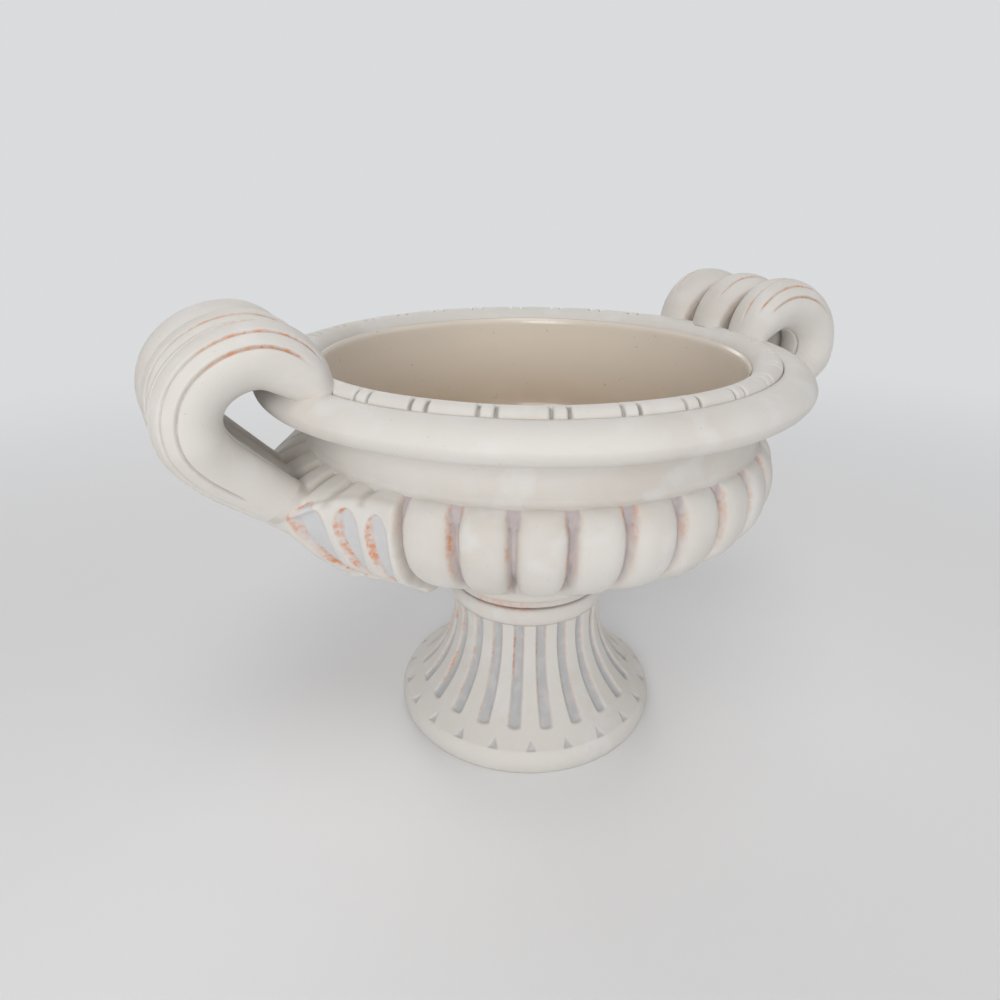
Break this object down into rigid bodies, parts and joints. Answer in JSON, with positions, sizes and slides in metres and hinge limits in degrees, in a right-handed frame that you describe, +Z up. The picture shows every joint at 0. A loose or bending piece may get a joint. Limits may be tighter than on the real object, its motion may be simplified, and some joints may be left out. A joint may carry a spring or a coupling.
{
  "type": "urn vase",
  "caption": "Footed ceramic urn vase: gadrooned bowl on a fluted foot, drooping lip with a notched bead, and looped handles of side-by-side rolls on fan brackets.",
  "frame": {"origin": "centre of the foot's base, on the surface that the urn stands on", "axes": "+Z up along the axis of the bowl, +X through the right handle, +Y to the back"},
  "size_m": [0.314, 0.2354, 0.2071],
  "materials": {
    "foot_clay": "matte warm white clay with a blue-grey wash in the flutes",
    "bowl_clay": "matte warm white clay with a blue-grey wash in the gadroon grooves",
    "rim_clay": "matte warm white clay, notches washed blue-grey",
    "bracket_clay": "matte warm white clay with washed hollows and terracotta edges",
    "roll_clay": "matte warm white clay with incised lines",
    "lining_glaze": "glossy ivory glaze"
  },
  "bodies": {
    "root": {"foot_pedestal": "foot_clay", "foot_collar": "foot_clay", "bowl_shell": "bowl_clay", "glaze_lining": "lining_glaze", "lip_ring": "rim_clay", "mouth_bead": "rim_clay", "left_handle_bracket": "bracket_clay", "left_handle_front_roll": "roll_clay", "left_handle_middle_roll": "roll_clay", "left_handle_rear_roll": "roll_clay", "right_handle_bracket": "bracket_clay", "right_handle_front_roll": "roll_clay", "right_handle_middle_roll": "roll_clay", "right_handle_rear_roll": "roll_clay"}
  },
  "joints": []
}
